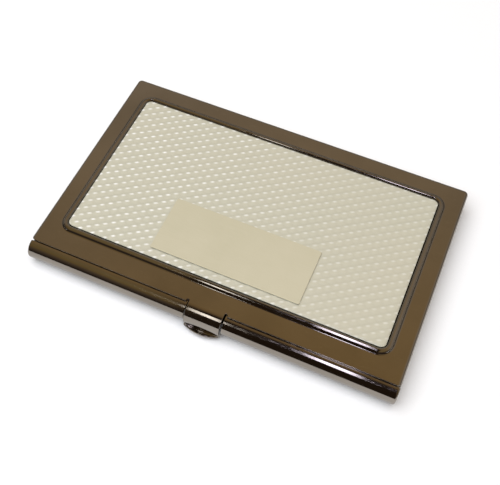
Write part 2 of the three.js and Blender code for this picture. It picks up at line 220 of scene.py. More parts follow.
def thicken(obj, outward):
    """Turns an outer face into sheet metal, with the sheet inside it: outward is 1 if its largest
    polygon faces up and -1 if it faces down."""
    bm = bmesh.new()
    bm.from_mesh(obj.data)
    bmesh.ops.recalc_face_normals(bm, faces=bm.faces)
    largest = max(bm.faces, key=lambda f: f.calc_area())
    if largest.normal.z * outward < 0:
        bmesh.ops.reverse_faces(bm, faces=bm.faces)
    bm.to_mesh(obj.data)
    bm.free()
    thick = obj.modifiers.new("sheet", "SOLIDIFY")
    thick.thickness = SHEET * MM
    thick.offset = -1
    thick.use_even_offset = True
    thick.use_quality_normals = True
    bake_modifiers(obj)
    return obj


def bake_modifiers(obj):
    """Replaces an object's mesh with what its modifiers make of it."""
    graph = bpy.context.evaluated_depsgraph_get()
    mesh = bpy.data.meshes.new_from_object(obj.evaluated_get(graph), depsgraph=graph)
    obj.modifiers.clear()
    obj.data = mesh


def combine(obj, operation, *others):
    """Cuts the other solids from obj, or adds them, and removes them."""
    for other in others:
        modifier = obj.modifiers.new("combine", "BOOLEAN")
        modifier.operation = operation
        modifier.solver = "EXACT"
        modifier.object = other
        bake_modifiers(obj)
        bpy.data.objects.remove(other)
    return obj


def rounded_loop(x, y, radius, z):
    """A rounded rectangle, anticlockwise from its front left corner, with the same count at any size."""
    corners = [(x[0], y[0], 180), (x[1], y[0], 270), (x[1], y[1], 0), (x[0], y[1], 90)]
    points = []
    for cx, cy, start in corners:
        middle_x = cx + radius * (1 if cx == x[0] else -1)
        middle_y = cy + radius * (1 if cy == y[0] else -1)
        for i in range(CORNER_STEPS + 1):
            a = math.radians(start + 90 * i / CORNER_STEPS)
            points.append((middle_x + radius * math.cos(a), middle_y + radius * math.sin(a), z))
    return points


def loft(name, loops):
    """A closed solid through loops of equal length, with a flat face at each end."""
    count = len(loops[0])
    points = [p for loop in loops for p in loop]
    faces = [tuple(range(count - 1, -1, -1))]
    for k in range(len(loops) - 1):
        for i in range(count):
            j = (i + 1) % count
            faces.append((k * count + i, k * count + j, (k + 1) * count + j, (k + 1) * count + i))
    last = (len(loops) - 1) * count
    faces.append(tuple(range(last, last + count)))
    return make(name, points, faces)


def quarter(radius, steps=6):
    """(inset, rise) pairs of a quarter round, from a flat face round to an upright one."""
    angles = [math.radians(90 * i / steps) for i in range(steps + 1)]
    return [(radius * (1 - math.sin(a)), radius * (1 - math.cos(a))) for a in angles]


def slab(name, x, y, z, radius, top_edge):
    """An upright block with rounded corners and a rounded top edge."""
    levels = [(0, z[0])]
    levels += [(inset, z[1] - rise) for inset, rise in reversed(quarter(top_edge))]
    loops = [
        rounded_loop((x[0] + d, x[1] - d), (y[0] + d, y[1] - d), max(radius - d, 0.01), level)
        for d, level in levels
    ]
    return loft(name, loops)


def block(x, y, z):
    """A plain block, to cut with."""
    corners = [(x[0], y[0]), (x[1], y[0]), (x[1], y[1]), (x[0], y[1])]
    return loft("block", [[(px, py, level) for px, py in corners] for level in z])


def prism(name, outline, span, axis):
    """An outline of (y, z) pairs extruded along X, or of (x, y) pairs extruded along Z."""
    if axis == "x":
        return loft(name, [[(x, p[0], p[1]) for p in outline] for x in span])
    return loft(name, [[(p[0], p[1], z) for p in outline] for z in span])


def lathe(name, profile, centre, axis, steps=40):
    """A solid of revolution: (place along the axis, radius) pairs, turned about X or Y."""
    loops = []
    for along, radius in profile:
        loop = []
        for i in range(steps):
            a = 2 * math.pi * i / steps
            u, v = centre[0] + radius * math.cos(a), centre[1] + radius * math.sin(a)
            loop.append((along, u, v) if axis == "x" else (u, along, v))
        loops.append(loop)
    return loft(name, loops)


def bend_line(start, heading, steps, smooth=8):
    """Points and headings along a line of (run length) or (bend degrees, radius) steps, turning
    left for positive degrees."""
    x, y = start
    angle = math.radians(heading)
    line = [(x, y, angle)]
    for step in steps:
        if len(step) == 1:
            x += step[0] * math.cos(angle)
            y += step[0] * math.sin(angle)
            line.append((x, y, angle))
            continue
        degrees, radius = step
        count = max(2, math.ceil(abs(degrees) / smooth))
        turn = math.radians(degrees) / count
        chord = 2 * radius * math.sin(abs(turn) / 2)
        for _ in range(count):
            x += chord * math.cos(angle + turn / 2)
            y += chord * math.sin(angle + turn / 2)
            angle += turn
            line.append((x, y, angle))
    return line


def strip_outline(line, thickness):
    """The closed outline of a strip of that thickness along a line."""
    sides = []
    for sign in (1, -1):
        offset = sign * thickness / 2
        sides.append([(x - offset * math.sin(a), y + offset * math.cos(a)) for x, y, a in line])
    return sides[0] + sides[1][::-1]


def finish_edges(obj, width, segments=3):
    """Rounds the sharp edges of a solid and shades it smooth, with flat faces kept flat."""
    bm = bmesh.new()
    bm.from_mesh(obj.data)
    bmesh.ops.remove_doubles(bm, verts=bm.verts, dist=2e-6)
    bmesh.ops.dissolve_degenerate(bm, edges=bm.edges, dist=2e-6)
    bmesh.ops.dissolve_limit(
        bm, verts=bm.verts, edges=bm.edges, angle_limit=math.radians(0.5), use_dissolve_boundaries=False
    )
    bm.to_mesh(obj.data)
    bm.free()
    bevel = obj.modifiers.new("edges", "BEVEL")
    bevel.width = width * MM
    bevel.segments = segments
    bevel.limit_method = "ANGLE"
    bevel.angle_limit = SHARP
    bevel.miter_outer = "MITER_ARC"
    bevel.use_clamp_overlap = False
    bake_modifiers(obj)
    shade(obj)
    return obj


def shade(obj):
    """Smooth shading that leans on the larger faces, so that flat ones stay flat."""
    for polygon in obj.data.polygons:
        polygon.use_smooth = True
    weighted = obj.modifiers.new("normals", "WEIGHTED_NORMAL")
    weighted.mode = "FACE_AREA"
    weighted.weight = 80
    bake_modifiers(obj)


def place(obj, body, node, material):
    """Puts a finished piece in the place of its CAD node."""
    obj.data.materials.append(material)
    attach(obj, body)
    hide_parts(node)


# ---- materials ----------------------------------------------------------------------------------


class Nodes:
    """A short way to write a material's node tree: each method adds a node and gives its output."""

    def __init__(self, name):
        self.material = bpy.data.materials.new(name)
        self.material.use_nodes = True
        self.tree = self.material.node_tree
        self.shader = self.tree.nodes["Principled BSDF"]
        self.place = self.add("ShaderNodeTexCoord").outputs["Object"]

    def add(self, kind, **settings):
        node = self.tree.nodes.new(kind)
        for key, value in settings.items():
            setattr(node, key, value)
        return node

    def link(self, source, target):
        self.tree.links.new(source, target)

    def stretched(self, scale):
        node = self.add("ShaderNodeMapping")
        node.inputs["Scale"].default_value = scale
        self.link(self.place, node.inputs["Vector"])
        return node.outputs["Vector"]

    def noise(self, scale, detail=3.0, roughness=0.55, vector=None):
        node = self.add("ShaderNodeTexNoise")
        node.inputs["Scale"].default_value = scale
        node.inputs["Detail"].default_value = detail
        node.inputs["Roughness"].default_value = roughness
        self.link(vector or self.place, node.inputs["Vector"])
        return node.outputs["Fac"]

    def to_range(self, value, low, high, start=0.0, end=1.0):
        node = self.add("ShaderNodeMapRange")
        node.inputs["From Min"].default_value = start
        node.inputs["From Max"].default_value = end
        node.inputs["To Min"].default_value = low
        node.inputs["To Max"].default_value = high
        self.link(value, node.inputs["Value"])
        return node.outputs["Result"]

    def blend(self, factor, dark, light):
        node = self.add("ShaderNodeMix", data_type="RGBA")
        self.link(factor, node.inputs["Factor"])
        node.inputs["A"].default_value = (*dark, 1)
        node.inputs["B"].default_value = (*light, 1)
        return node.outputs["Result"]

    def tint(self, factor, colour, over):
        node = self.add("ShaderNodeMix", data_type="RGBA")
        self.link(factor, node.inputs["Factor"])
        self.link(over, node.inputs["A"])
        node.inputs["B"].default_value = (*colour, 1)
        return node.outputs["Result"]

    def calculate(self, operation, first, second):
        node = self.add("ShaderNodeMath", operation=operation)
        for value, socket in ((first, node.inputs[0]), (second, node.inputs[1])):
            if isinstance(value, (int, float)):
                socket.default_value = value
            else:
                self.link(value, socket)
        return node.outputs["Value"]

    def scratches(self, scale, thin, angle):
        """1 on sparse hairline marks and 0 elsewhere."""
        turn = self.add("ShaderNodeMapping")
        turn.inputs["Rotation"].default_value = (0, 0, math.radians(angle))
        turn.inputs["Scale"].default_value = (scale * 0.06, scale, scale)
        self.link(self.place, turn.inputs["Vector"])
        fine = self.noise(1.0, 2.0, 0.4, turn.outputs["Vector"])
        line = self.calculate("ABSOLUTE", self.calculate("SUBTRACT", fine, 0.5), 0)
        return self.to_range(line, 1, 0, 0, thin)

    def bump(self, height, depth_mm, strength=1.0, under=None):
        node = self.add("ShaderNodeBump")
        node.inputs["Strength"].default_value = strength
        node.inputs["Distance"].default_value = depth_mm * MM
        self.link(height, node.inputs["Height"])
        if under:
            self.link(under, node.inputs["Normal"])
        return node.outputs["Normal"]

    def feed(self, **sockets):
        for name, value in sockets.items():
            socket = self.shader.inputs[name.replace("_", " ")]
            if isinstance(value, (int, float)):
                socket.default_value = value
            else:
                self.link(value, socket)
        return self.material


def gunmetal_material():
    """Polished dark nickel: a near mirror with faint waviness, haze, fingerprints and hairlines."""
    n = Nodes("gunmetal")
    cloud = n.noise(60, 4)
    haze = n.noise(260, 5, 0.6)
    marks = n.scratches(900, 0.004, 35)
    colour = n.blend(n.to_range(cloud, 0, 1, 0.35, 0.65), (0.255, 0.230, 0.198), (0.298, 0.270, 0.236))
    colour = n.tint(n.calculate("MULTIPLY", marks, 0.25), (0.46, 0.43, 0.38), colour)
    polish = n.to_range(haze, 0.055, 0.12, 0.35, 0.7)
    rough = n.calculate("ADD", polish, n.calculate("MULTIPLY", marks, 0.12))
    wave = n.bump(n.noise(95, 1), 0.012)
    grain = n.bump(n.noise(2600, 3), 0.0006, under=wave)
    return n.feed(Base_Color=colour, Metallic=1, Roughness=rough, Normal=grain)


def steel_material():
    """Plain drawn steel: grain along the length, some grey cloud."""
    n = Nodes("spring_steel")
    grain = n.noise(1, 4, 0.6, n.stretched((300, 9000, 9000)))
    cloud = n.noise(500, 3)
    colour = n.blend(n.to_range(cloud, 0, 1, 0.3, 0.7), (0.50, 0.49, 0.47), (0.66, 0.65, 0.62))
    rough = n.to_range(grain, 0.2, 0.38, 0.3, 0.7)
    return n.feed(Base_Color=colour, Metallic=1, Roughness=rough, Normal=n.bump(grain, 0.003))


def champagne_material():
    """Embossed, clear-coated aluminium in pale champagne, with painted shade that darkens the grooves
    and a painted white highlight on each pillow that is strongest towards the left of the plate."""
    n = Nodes("inlay_metal")
    cloud = n.noise(45, 3)
    fleck = n.noise(5200, 2)
    split = n.add("ShaderNodeSeparateXYZ")
    n.link(n.place, split.inputs["Vector"])
    x, y, z = (split.outputs[axis] for axis in "XYZ")
    height = n.to_range(z, 0, 1, (PLATE_HIGH.z - EMBOSS_DEPTH) * MM, PLATE_HIGH.z * MM)
    # painted shade: the low parts of the embossing, the grooves, are coloured darker than the pillow tops
    colour = n.blend(height, (0.60, 0.60, 0.495), (0.67, 0.67, 0.555))
    colour = n.tint(n.to_range(cloud, 0, 0.35, 0.35, 0.75), (0.685, 0.655, 0.53), colour)
    # painted highlights: a white fleck near the top of each pillow, varied by noise, stands in for
    # reflected light
    column = n.calculate("DIVIDE", x, LATTICE_X * MM)
    row = n.calculate("DIVIDE", y, LATTICE_Y * MM)
    across = n.calculate("PINGPONG", n.calculate("SUBTRACT", column, row), 0.5)
    along = n.calculate("PINGPONG", n.calculate("ADD", column, row), 0.5)
    ridge = n.to_range(across, 0, 1, 0.30, 0.44)
    tops = n.calculate("MULTIPLY", ridge, n.to_range(along, 0, 1, 0.16, 0.40))
    # how strong the painted highlight is: strongest at the left of the plate and fading to the right
    strength = n.to_range(x, 0.88, 0.35, -25 * MM, 25 * MM)
    highlight_share = n.calculate("MULTIPLY", strength, n.to_range(n.noise(700, 2), 0.55, 1.0, 0.35, 0.6))
    painted_highlight = n.calculate("MULTIPLY", tops, highlight_share)
    # the painted highlight is laid on as near-white colour and kept non-metallic, so that it stays white
    colour = n.tint(painted_highlight, (1.0, 1.0, 0.97), colour)
    rough = n.to_range(fleck, 0.30, 0.42, 0.3, 0.7)
    coat_rough = n.to_range(cloud, 0.10, 0.16, 0.3, 0.7)
    metallic = n.to_range(painted_highlight, 0.35, 0.0)
    normal = n.bump(fleck, 0.003)
    return n.feed(
        Base_Color=colour,
        Metallic=metallic,
        Roughness=rough,
        Coat_Weight=1.0,
        Coat_Roughness=coat_rough,
        Normal=normal,
    )


def label_material():
    """Satin champagne label with a fine brushed grain along its length."""
    n = Nodes("nameplate_metal")
    grain = n.noise(1, 4, 0.6, n.stretched((220, 9000, 9000)))
    cloud = n.noise(80, 3)
    colour = n.blend(n.to_range(cloud, 0, 1, 0.3, 0.7), (0.590, 0.558, 0.402), (0.632, 0.595, 0.441))
    colour = n.tint(n.to_range(grain, 0, 0.35, 0.35, 0.75), (0.685, 0.648, 0.51), colour)
    rough = n.to_range(grain, 0.34, 0.5, 0.3, 0.7)
    return n.feed(Base_Color=colour, Metallic=0.3, Roughness=rough, Normal=n.bump(grain, 0.004))


def film_material():
    """Milky double-sided adhesive film."""
    n = Nodes("adhesive_film")
    cloud = n.noise(700, 4)
    colour = n.blend(n.to_range(cloud, 0, 1, 0.3, 0.7), (0.70, 0.67, 0.59), (0.82, 0.80, 0.73))
    rough = n.to_range(cloud, 0.55, 0.8, 0.3, 0.7)
    return n.feed(Base_Color=colour, Roughness=rough, Normal=n.bump(cloud, 0.01))


def floor_material():
    """Matt white paper sweep."""
    n = Nodes("floor")
    fibre = n.noise(1500, 4)
    colour = n.blend(fibre, (0.90, 0.90, 0.90), (0.93, 0.93, 0.93))
    return n.feed(Base_Color=colour, Roughness=0.9, Normal=n.bump(fibre, 0.01))


# ---- lid ----------------------------------------------------------------------------------------


def bead_profile():
    """(margin outside the plate, height over the lid) across the frame bead: a steep inner wall, a
    broad crown, a steep outer flank and a foot that eases out into the flat border."""
    inner_steps, outer_steps = 5, 4
    inner = []
    for i in range(inner_steps + 1):
        share = i / inner_steps
        inner.append((BEAD_CREST * share, math.sin(math.pi / 2 * share) ** 0.6))
    # the outer side as (run, slope in degrees at its end), scaled to the bead's width and height
    runs = [(0.15, 17), (0.45, 25), (0.3, 55), (0.15, 52), (0.25, 20), (0.2, 0)]
    outer, run, drop, slope = [], 0.0, 0.0, 0.0
    for length, end in runs:
        for i in range(outer_steps):
            middle = slope + (end - slope) * (i + 0.5) / outer_steps
            run += length / outer_steps
            drop += length / outer_steps * math.tan(math.radians(middle))
            outer.append((run, drop))
        slope = end
    flank = [(BEAD_CREST + (1 - BEAD_CREST) * r / run, 1 - d / drop) for r, d in outer]
    return [(BEAD_GAP + BEAD_WIDTH * t, BEAD_HEIGHT * rise) for t, rise in inner + flank]


def pan_and_bead(surface):
    """The flat pan under the plate and the bead round it; gives the loop at the bead's foot."""
    rings = []
    for margin, rise in bead_profile():
        x = (PLATE_LOW.x - margin, PLATE_HIGH.x + margin)
        y = (PLATE_LOW.y - margin, PLATE_HIGH.y + margin)
        rings.append(surface.add(rounded_loop(x, y, PLATE_CORNER + margin, LID_TOP + rise)))
    surface.faces.append(tuple(rings[0]))
    for inner, outer in zip(rings, rings[1:]):
        surface.bridge(inner, outer)
    return rings[-1]


def lid_loop(inset, height):
    """An open loop round the lid at that inset, from its front right end round the rear."""
    x = HALF - inset
    over = max(0.0, x - (HALF - LID_CORNER))
    front = ROLL_Y + LID_CORNER - math.sqrt(max(LID_CORNER ** 2 - over ** 2, 0.0))
    ring = rounded_loop((-x, x), (ROLL_Y, LID_REAR - inset), max(LID_CORNER - inset, 0.05), height)
    return [(x, front, height), *ring[2 * (CORNER_STEPS + 1):], (-x, front, height)]


def edge_and_skirts(surface):
    """The rounded outer edge and the skirts, which are deep at the sides and stop above the hinge
    barrel at the rear; gives the loop where the flat border ends."""
    levels = [(LID_EDGE + FLAT_MARGIN, 0)] + quarter(LID_EDGE, 8)
    loops = [surface.add(lid_loop(inset, LID_TOP - drop)) for inset, drop in levels]
    for inner, outer in zip(loops, loops[1:]):
        surface.bridge(inner, outer, closed=False)
    edge = loops[-1]
    side_end = LID_REAR - LID_CORNER - FLAT_MARGIN
    low = []
    for index in edge:
        x, y, _ = surface.points[index]
        low.append((x, y, REAR_SKIRT_BOTTOM if y > side_end else SKIRT_BOTTOM))
    skirt = surface.add(low)
    step = [(HALF, side_end, SKIRT_BOTTOM), (HALF, side_end, REAR_SKIRT_BOTTOM)]
    right_step = surface.add(step)
    left_step = surface.add([(-x, y, z) for x, y, z in step])
    # side skirts as one face each, with the rear step cut in
    surface.faces.append((edge[0], skirt[0], right_step[0], right_step[1], skirt[1], edge[1]))
    surface.faces.append((edge[-2], skirt[-2], left_step[1], left_step[0], skirt[-1], edge[-1]))
    surface.bridge(edge[1:-1], skirt[1:-1], closed=False)
    return loops[0]


def tab_line():
    """Outer face of the thumb tab in the YZ plane as (forward, height, heading): the part from the
    lid's edge round the roll's axis, and the part that turns out into the lip."""
    half = SHEET / 2
    turn = 90 + TAB_TUCK
    slot_end = ROLL_Y + SLOT_DEPTH - SLOT_ROUND
    over = [(slot_end - ROLL_Y,), (turn, LID_TOP - ROLL_RADIUS)]
    out = [(-turn, LIP_ROOT_RADIUS - half), (LIP_RUN,), (-LIP_CURL, LIP_CURL_RADIUS - half)]
    start = bend_line((slot_end, LID_TOP), 180, over, smooth=5)
    end = bend_line(start[-1][:2], 180 + turn, out, smooth=5)
    return start, end


def lip_end(x):
    """Y of the lip's half-round end at x."""
    bulge = ROLL_Y - LIP_CORNER_REACH - LID_LOW.y
    radius = (TAB_HALF ** 2 + bulge ** 2) / (2 * bulge)
    return LID_LOW.y + radius - math.sqrt(radius ** 2 - x ** 2)


def on_lip(line, limit, share):
    """(y, z) at that share of the line's length up to where it crosses y = limit."""
    lengths = [0.0]
    for a, b in zip(line, line[1:]):
        lengths.append(lengths[-1] + math.dist(a[:2], b[:2]))
    stop = lengths[-1]
    for k in range(len(line) - 1, 0, -1):
        if line[k - 1][0] > limit >= line[k][0]:
            part = (line[k - 1][0] - limit) / (line[k - 1][0] - line[k][0])
            stop = lengths[k - 1] + part * (lengths[k] - lengths[k - 1])
            break
    want = share * stop
    for k in range(1, len(line)):
        if lengths[k] >= want - 1e-9:
            part = (want - lengths[k - 1]) / (lengths[k] - lengths[k - 1])
            y = line[k - 1][0] + part * (line[k][0] - line[k - 1][0])
            z = line[k - 1][1] + part * (line[k][1] - line[k - 1][1])
            return y, z
    return line[-1][:2]


def thumb_tab(surface):
    """The tab and its hollowed lip; gives the row of points where the tab leaves the border."""
    start, end = tab_line()
    xs = [TAB_HALF * (2 * i / TAB_COLUMNS - 1) for i in range(TAB_COLUMNS + 1)]
    rows = [surface.add([(x, y, z) for x in xs]) for y, z, _ in start]
    for j in range(1, LIP_ROWS + 1):
        share = j / LIP_ROWS
        depth = LIP_DISH * math.sin(math.pi * min(share * 1.15, 1)) ** 2
        row = []
        for x in xs:
            y, z = on_lip(end, lip_end(x), share)
            row.append((x, y, z - depth * (1 - (x / TAB_HALF) ** 2)))
        rows.append(surface.add(row))
    for upper, lower in zip(rows, rows[1:]):
        surface.bridge(upper, lower, closed=False)
    return rows[0]


def relief_slot(side):
    """The slot's outline beside the tab, from the lid's front edge to the tab's root."""
    outer_x = TAB_HALF + TAB_SLOT
    middle_y = ROLL_Y + SLOT_DEPTH - SLOT_ROUND
    path = [(outer_x, ROLL_Y)]
    for centre_x, start_angle in ((outer_x - SLOT_ROUND, 0), (TAB_HALF + SLOT_ROUND, 90)):
        for i in range(7):
            a = math.radians(start_angle + 15 * i)
            path.append((centre_x + SLOT_ROUND * math.cos(a), middle_y + SLOT_ROUND * math.sin(a)))
    return [(side * x, y, LID_TOP) for x, y in path[:-1]]


def flat_border(surface, foot, outer):
    """The flat border beside and behind the bead."""
    n = CORNER_STEPS + 1
    surface.faces.append((foot[2 * n - 1], outer[0], outer[1], foot[2 * n]))
    surface.bridge(foot[2 * n:], outer[1:-1], closed=False)
    surface.faces.append((foot[-1], outer[-2], outer[-1], foot[0]))


def front_border(surface, foot, outer, tab_root):
    """The border in front of the bead, as one face with the relief slots cut in beside the tab."""
    corner_x = HALF - LID_CORNER
    left = surface.add([(-corner_x, ROLL_Y, LID_TOP), *relief_slot(-1)])
    right = surface.add([*reversed(relief_slot(1)), (corner_x, ROLL_Y, LID_TOP)])
    n = CORNER_STEPS + 1
    bead_side = foot[n:2 * n][::-1] + foot[:n][::-1]
    surface.faces.append(tuple(bead_side + [outer[-1]] + left + tab_root + right + [outer[0]]))


def lid_shell():
    """The lid as one pressed and bent sheet."""
    surface = Surface()
    foot = pan_and_bead(surface)
    outer = edge_and_skirts(surface)
    flat_border(surface, foot, outer)
    tab_root = thumb_tab(surface)
    front_border(surface, foot, outer, tab_root)
    shell = thicken(make("case_lid", surface.points, surface.faces), 1)
    return finish_edges(shell, LID_BEVEL)


# ---- tray ---------------------------------------------------------------------------------------


def roll_arc(radius, steps=48):
    """(y, z) points of the roll's section, from its bottom round the front to its top."""
    angles = [math.radians(270 - 180 * i / steps) for i in range(steps + 1)]
    return [(ROLL_Y + radius * math.cos(a), ROLL_RADIUS + radius * math.sin(a)) for a in angles]


def tray_loop(inset, height):
    """From the right end of the floor's front edge round the rear to its left end."""
    x = TRAY_HALF - inset
    ring = rounded_loop((-x, x), (ROLL_Y, WALL_REAR - inset), TRAY_CORNER - inset, height)
    return [(x, ROLL_Y, height), *ring[2 * (CORNER_STEPS + 1):], (-x, ROLL_Y, height)]


def base_tray():
    """Floor, three walls and the rolled front edge as one bent sheet, with the roll's ends closed."""
    loops = [tray_loop(inset, rise) for inset, rise in quarter(TRAY_EDGE)]
    rim = tray_loop(0, WALL_TOP)
    notch_end = ROLL_Y + SHEET
    notch = [
        (-CUTOUT_HALF, ROLL_Y, 0),
        (-CUTOUT_HALF, notch_end, 0),
        (CUTOUT_HALF, notch_end, 0),
        (CUTOUT_HALF, ROLL_Y, 0),
    ]
    polygons = [loops[0] + notch]
    polygons += strips(loops)
    polygons += strips([loops[-1][1:-1], rim[1:-1]])
    for side in (-1, 1):
        polygons += [[(side * x, y, z) for x, y, z in p] for p in roll_half(loops, rim)]
    tray = skin("case_tray", polygons, -1)
    window_z = (HINGE_Z - WINDOW_HEIGHT / 2, HINGE_Z + WINDOW_HEIGHT / 2)
    window = block((-WINDOW_HALF, WINDOW_HALF), (WALL_REAR - 1, WALL_REAR + 1), window_z)
    combine(tray, "DIFFERENCE", window)
    finish_edges(tray, TRAY_BEVEL)
    # nothing may dip below the floor that the case stands on
    for vertex in tray.data.vertices:
        vertex.co.z = max(vertex.co.z, 0.0)
    return tray


def roll_half(loops, rim):
    """The right half of the roll: its round, the flange, the closed end and the side wall."""
    ends = [(HALF - rise, ROLL_RADIUS - inset) for inset, rise in reversed(quarter(ROLL_END_EDGE))]
    plain = [(x, ROLL_RADIUS) for x in (CUTOUT_HALF, TRAY_HALF - TRAY_EDGE, TRAY_HALF)]
    sections = [[(x, y, z) for y, z in roll_arc(r)] for x, r in plain + ends]
    polygons = strips(sections)
    polygons.append(sections[-1])
    top = sections[0][-1][2]
    floor_edge = [loop[0] for loop in loops]
    wall_top = (TRAY_HALF, ROLL_Y, top)
    flange_y = ROLL_Y + FLANGE_DEPTH
    flange = [(TRAY_HALF, flange_y, top), (CUTOUT_HALF, flange_y, top)]
    bottom = [section[0] for section in sections[1:]]
    back = [section[-1] for section in reversed(sections[2:])]
    polygons.append(bottom + back + floor_edge[:0:-1])
    polygons.append([sections[0][-1], sections[1][-1], wall_top, *flange])
    polygons.append([floor_edge[-1], wall_top, flange[0], rim[1], loops[-1][1]])
    return polygons


# ---- hinge, spring and rivets -------------------------------------------------------------------


def knuckle_span(index):
    """(from, to) along X of one knuckle."""
    middle = (index - (KNUCKLE_COUNT - 1) / 2) * KNUCKLE_PITCH
    half = KNUCKLE_PITCH / 2 - FREE_GAP / 2
    return middle - half, middle + half


def hinge_leaf(name, parity, start, heading, steps, strip_run):
    """A leaf strip with every second knuckle curled from it round the pin."""
    curl = strip_outline(bend_line(start, heading, steps, smooth=10), LEAF_SHEET)
    plain = strip_outline(bend_line(start, heading, [(strip_run,)]), LEAF_SHEET)
    leaf = prism(name, plain, (BASE_LEAF_LOW.x, BASE_LEAF_HIGH.x), "x")
    for index in range(parity, KNUCKLE_COUNT, 2):
        combine(leaf, "UNION", prism("knuckle", curl, knuckle_span(index), "x"))
    return leaf


def base_hinge_leaf():
    """Rises behind the tray's rear wall, steps out to the barrel and curls over the pin."""
    middle = WALL_REAR + LEAF_SHEET / 2
    jog = HINGE_Y - BARREL_RADIUS - middle
    angle = math.acos(1 - jog / (2 * LEAF_JOG_RADIUS))
    rise = HINGE_Z - BASE_LEAF_LOW.z - 2 * LEAF_JOG_RADIUS * math.sin(angle)
    degrees = math.degrees(angle)
    step_out = [(-degrees, LEAF_JOG_RADIUS), (degrees, LEAF_JOG_RADIUS)]
    steps = [(rise,), *step_out, (-KNUCKLE_CURL, BARREL_RADIUS)]
    strip_run = HINGE_Z - KNUCKLE_RADIUS - FREE_GAP - BASE_LEAF_LOW.z
    leaf = hinge_leaf("hinge_leaf_base", 0, (middle, BASE_LEAF_LOW.z), 90, steps, strip_run)
    return finish_edges(leaf, SMALL_BEVEL, 2)


def lid_hinge_leaf():
    """Drops inside the lid's rear skirt and curls under the pin; its middle knuckle has the flats."""
    top = LID_LEAF_HIGH.z
    steps = [(top - HINGE_Z,), (KNUCKLE_CURL, BARREL_RADIUS)]
    strip_run = top - (HINGE_Z + KNUCKLE_RADIUS + FREE_GAP)
    leaf = hinge_leaf("hinge_leaf_lid", 1, (HINGE_Y - BARREL_RADIUS, top), 270, steps, strip_run)
    flat = KNUCKLE_RADIUS - CAM_FLAT_DEPTH
    half_pitch = KNUCKLE_PITCH / 2
    opened = math.radians(frame["joints"][0]["range_deg"][1])
    for angle in (0.0, opened):
        cut = block((-half_pitch, half_pitch), (-flat - 2, -flat), (-CAM_FLAT_HALF, CAM_FLAT_HALF))
        turn = Matrix.Translation((0, HINGE_Y * MM, HINGE_Z * MM)) @ Matrix.Rotation(angle, 4, "X")
        cut.data.transform(turn)
        combine(leaf, "DIFFERENCE", cut)
    return finish_edges(leaf, SMALL_BEVEL, 2)


def hinge_pin():
    """A wire pin with rounded ends."""
    radius = (PIN_HIGH.z - PIN_LOW.z) / 2
    end = [(PIN_HIGH.x - rise, radius - inset) for inset, rise in quarter(PIN_END_EDGE)]
    profile = [(-x, r) for x, r in end] + end[::-1]
    pin = lathe("pin", profile, (HINGE_Y, HINGE_Z), "x")
    shade(pin)
    return pin


def snap_spring():
    """A leaf spring with flat ends, two ramps and a crown that faces the middle knuckle."""
    flat = SPRING_LOW.y + SPRING_THICKNESS / 2
    crown = SPRING_HIGH.y - SPRING_THICKNESS / 2
    angle = math.radians(SPRING_SLOPE)
    ramp = (crown - flat - 2 * SPRING_BEND * (1 - math.cos(angle))) / math.sin(angle)
    run = SPRING_HIGH.x - CROWN_HALF - ramp * math.cos(angle) - 2 * SPRING_BEND * math.sin(angle)
    rise, fall = (SPRING_SLOPE, SPRING_BEND), (-SPRING_SLOPE, SPRING_BEND)
    steps = [(run,), rise, (ramp,), fall, (2 * CROWN_HALF,), fall, (ramp,), rise, (run,)]
    outline = strip_outline(bend_line((SPRING_LOW.x, flat), 0, steps, smooth=6), SPRING_THICKNESS)
    spring = prism("spring", outline, (SPRING_LOW.z, SPRING_HIGH.z), "z")
    return finish_edges(spring, SMALL_BEVEL, 2)


def snap_rivet(name, side):
    """A domed head inside the case, a shank through spring and wall, peened flush outside."""
    x = side * (RIVET_LOW.x + RIVET_HIGH.x) / 2
    radius = (RIVET_HIGH.x - RIVET_LOW.x) / 2
    head_end = RIVET_LOW.y + RIVET_HEAD
    profile = []
    for i in range(6):
        a = math.radians(85 - 17 * i)
        profile.append((head_end - RIVET_HEAD * math.sin(a), radius * math.cos(a)))
    profile.append((head_end, RIVET_SHANK))
    profile.append((RIVET_HIGH.y - RIVET_EDGE, RIVET_SHANK))
    profile.append((RIVET_HIGH.y, RIVET_SHANK - RIVET_EDGE))
    rivet = lathe(name, profile, (x, HINGE_Z), "y", 32)
    shade(rivet)
    return rivet


# ---- inlay plate and label ----------------------------------------------------------------------


def emboss(x, y):
    """Height of the embossing from 0 to 1: diamond pillows in rows that climb to the right, parted
    by deep grooves between the rows and shallower ones across them."""
    across = (x / LATTICE_X - y / LATTICE_Y) % 1
    along = (x / LATTICE_X + y / LATTICE_Y) % 1
    row = (4 * across * (1 - across)) ** 0.7
    notch = (4 * along * (1 - along)) ** 0.7
    return row * (0.45 + 0.55 * notch)


def embossed_top():
    """Columns of points over the plate's embossed face, within its rim."""
    half_x, half_y = PLATE_HIGH.x, (PLATE_HIGH.y - PLATE_LOW.y) / 2
    middle_y = (PLATE_HIGH.y + PLATE_LOW.y) / 2
    columns = []
    for i in range(PLATE_COLUMNS + 1):
        x = (half_x - PLATE_RIM) * (2 * i / PLATE_COLUMNS - 1)
        over = max(0.0, abs(x) - (half_x - PLATE_CORNER))
        corner = PLATE_CORNER - math.sqrt(max(PLATE_CORNER ** 2 - over ** 2, 0.0))
        span = half_y - corner - PLATE_RIM
        column = []
        for j in range(PLATE_ROWS + 1):
            y = span * (2 * j / PLATE_ROWS - 1)
            edge = min(half_x - PLATE_RIM - abs(x), span - abs(y)) / EMBOSS_FADE
            share = max(0.0, min(1.0, edge))
            z = PLATE_HIGH.z - EMBOSS_DEPTH * (1 - share * emboss(x, y))
            column.append((x, middle_y + y, z))
        columns.append(column)
    return columns


